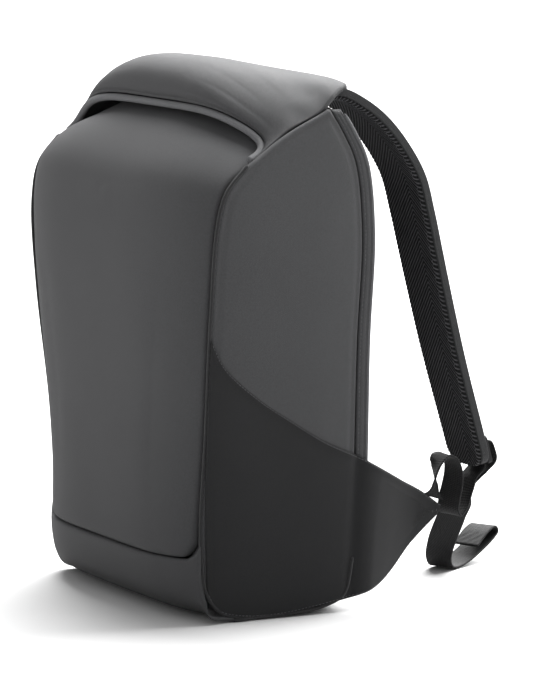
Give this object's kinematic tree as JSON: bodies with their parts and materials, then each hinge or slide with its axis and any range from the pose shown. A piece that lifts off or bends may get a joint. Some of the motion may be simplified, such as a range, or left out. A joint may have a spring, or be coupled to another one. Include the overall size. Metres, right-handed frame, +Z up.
{
  "type": "anti theft backpack",
  "caption": "Dark grey upright backpack with a padded hooded top flap, fabric side wings and two padded shoulder straps.",
  "frame": {"origin": "centre of the base on the floor", "axes": "+Z up, -Y towards the front panel, +Y towards the shoulder straps, +X towards the bag's side that the picture shows"},
  "size_m": [0.3123, 0.3914, 0.4487],
  "materials": {
    "shell_fabric": "matt, fine weave with a soft sheen",
    "wing_fabric": "matt stretch weave",
    "binding_fabric": "matt rolled edge",
    "air_mesh": "matt ribbed mesh",
    "webbing_weave": "matt ribbed weave",
    "lock_plastic": "satin"
  },
  "bodies": {
    "root": {"front_panel": "shell_fabric", "base_panel": "shell_fabric", "top_flap": "shell_fabric", "back_panel": "air_mesh", "flap_binding": "binding_fabric", "side_panel_right": "shell_fabric", "back_gusset_right": "shell_fabric", "side_wing_right": "wing_fabric", "shoulder_strap_right": "shell_fabric", "strap_mesh_right": "air_mesh", "webbing_right": "webbing_weave", "ladder_lock_right": "lock_plastic", "side_panel_left": "shell_fabric", "back_gusset_left": "shell_fabric", "side_wing_left": "wing_fabric", "shoulder_strap_left": "shell_fabric", "strap_mesh_left": "air_mesh", "webbing_left": "webbing_weave", "ladder_lock_left": "lock_plastic"}
  },
  "joints": []
}
